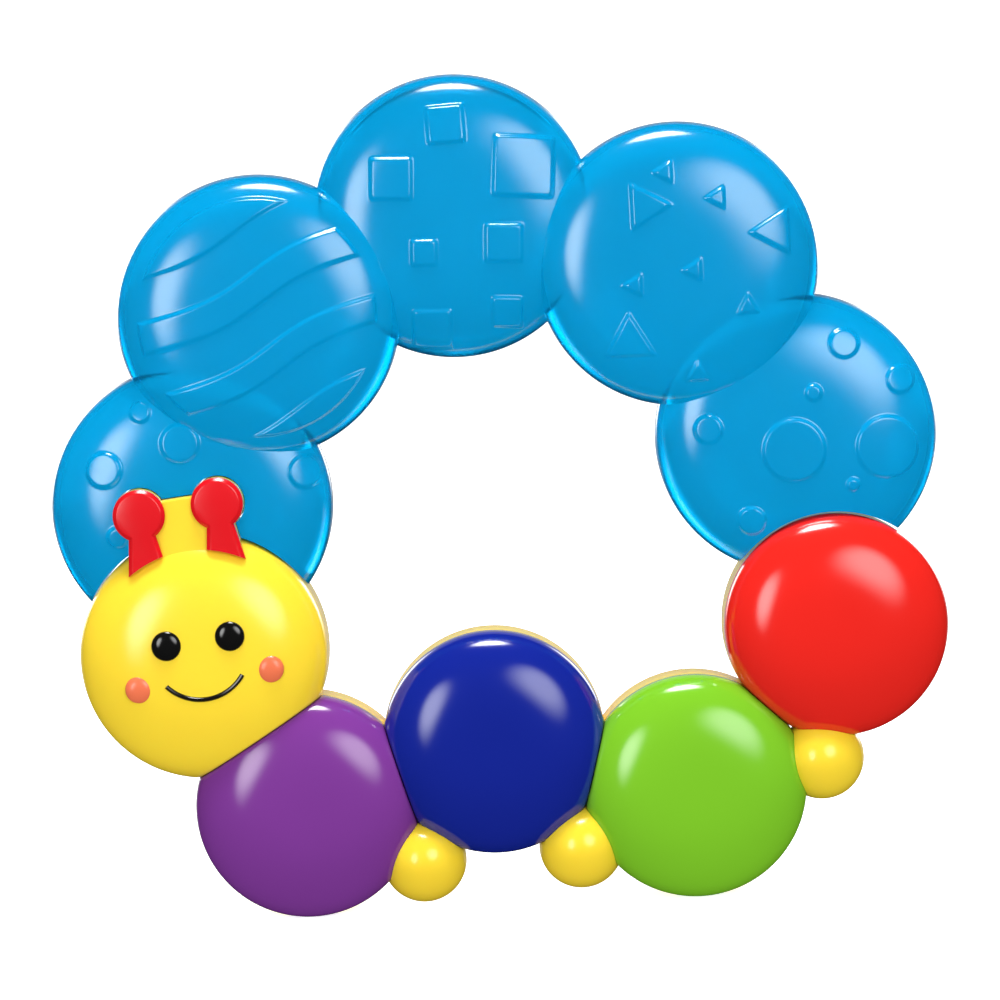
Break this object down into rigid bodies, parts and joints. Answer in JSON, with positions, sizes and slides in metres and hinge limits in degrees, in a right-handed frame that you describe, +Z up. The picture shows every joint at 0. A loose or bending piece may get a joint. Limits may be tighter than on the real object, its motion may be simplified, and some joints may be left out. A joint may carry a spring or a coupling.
{
  "type": "teething ring",
  "caption": "Upright teething ring shaped like a curled bug: a chain of round segments closing on itself, half soft water-filled discs and half rigid rattle chambers with a head and feet.",
  "frame": {"origin": "middle of the bottom of the bounding box; the ring stands on the lowest edges of its purple and green segments", "axes": "+X across the ring from the head's side to the red segment's side; +Z up; the face looks along -Y, so +Y points out of the casing's flat back"},
  "size_m": [0.1514, 0.0208, 0.1419],
  "materials": {
    "yellow_plastic": "gloss",
    "purple_plastic": "high gloss",
    "navy_plastic": "high gloss",
    "green_plastic": "high gloss",
    "red_plastic": "high gloss",
    "antenna_red": "gloss",
    "black_plastic": "gloss",
    "coral_plastic": "gloss",
    "teether_blue": "soft translucent skin, satin gloss",
    "water": "clear, tinted by the skin",
    "screw_steel": "plain steel",
    "bead_plastic": "off-white, plain"
  },
  "bodies": {
    "toy": {"rear_casing": "yellow_plastic", "head_face": "yellow_plastic", "cap_purple": "purple_plastic", "cap_navy": "navy_plastic", "cap_green": "green_plastic", "cap_red": "red_plastic", "foot_cap_left": "yellow_plastic", "foot_cap_middle": "yellow_plastic", "foot_cap_right": "yellow_plastic", "antenna_left": "antenna_red", "antenna_right": "antenna_red", "eye_left": "black_plastic", "eye_right": "black_plastic", "cheek_left": "coral_plastic", "cheek_right": "coral_plastic", "teether_front_shell": "teether_blue", "teether_rear_shell": "teether_blue", "water_fill": "water", "fill_plug": "teether_blue", "screw_head": "screw_steel", "screw_purple": "screw_steel", "screw_navy": "screw_steel", "screw_green": "screw_steel", "screw_red": "screw_steel"},
    "loose_bead_purple_1": {"bead_purple_1": "bead_plastic"},
    "loose_bead_purple_2": {"bead_purple_2": "bead_plastic"},
    "loose_bead_navy_1": {"bead_navy_1": "bead_plastic"},
    "loose_bead_navy_2": {"bead_navy_2": "bead_plastic"},
    "loose_bead_green_1": {"bead_green_1": "bead_plastic"},
    "loose_bead_green_2": {"bead_green_2": "bead_plastic"},
    "loose_bead_red_1": {"bead_red_1": "bead_plastic"},
    "loose_bead_red_2": {"bead_red_2": "bead_plastic"}
  },
  "joints": [
    {"name": "bead_purple_1_slide", "type": "slide", "parent": "toy", "child": "loose_bead_purple_1", "axis": [0, 0, 1], "range_m": [0, 0.015]},
    {"name": "bead_purple_2_slide", "type": "slide", "parent": "toy", "child": "loose_bead_purple_2", "axis": [0, 0, 1], "range_m": [0, 0.02]},
    {"name": "bead_navy_1_slide", "type": "slide", "parent": "toy", "child": "loose_bead_navy_1", "axis": [0, 0, 1], "range_m": [0, 0.006]},
    {"name": "bead_navy_2_slide", "type": "slide", "parent": "toy", "child": "loose_bead_navy_2", "axis": [0, 0, 1], "range_m": [0, 0.006]},
    {"name": "bead_green_1_slide", "type": "slide", "parent": "toy", "child": "loose_bead_green_1", "axis": [0, 0, 1], "range_m": [0, 0.02]},
    {"name": "bead_green_2_slide", "type": "slide", "parent": "toy", "child": "loose_bead_green_2", "axis": [0, 0, 1], "range_m": [0, 0.019]},
    {"name": "bead_red_1_slide", "type": "slide", "parent": "toy", "child": "loose_bead_red_1", "axis": [0, 0, 1], "range_m": [0, 0.015]},
    {"name": "bead_red_2_slide", "type": "slide", "parent": "toy", "child": "loose_bead_red_2", "axis": [0, 0, 1], "range_m": [0, 0.017]}
  ]
}
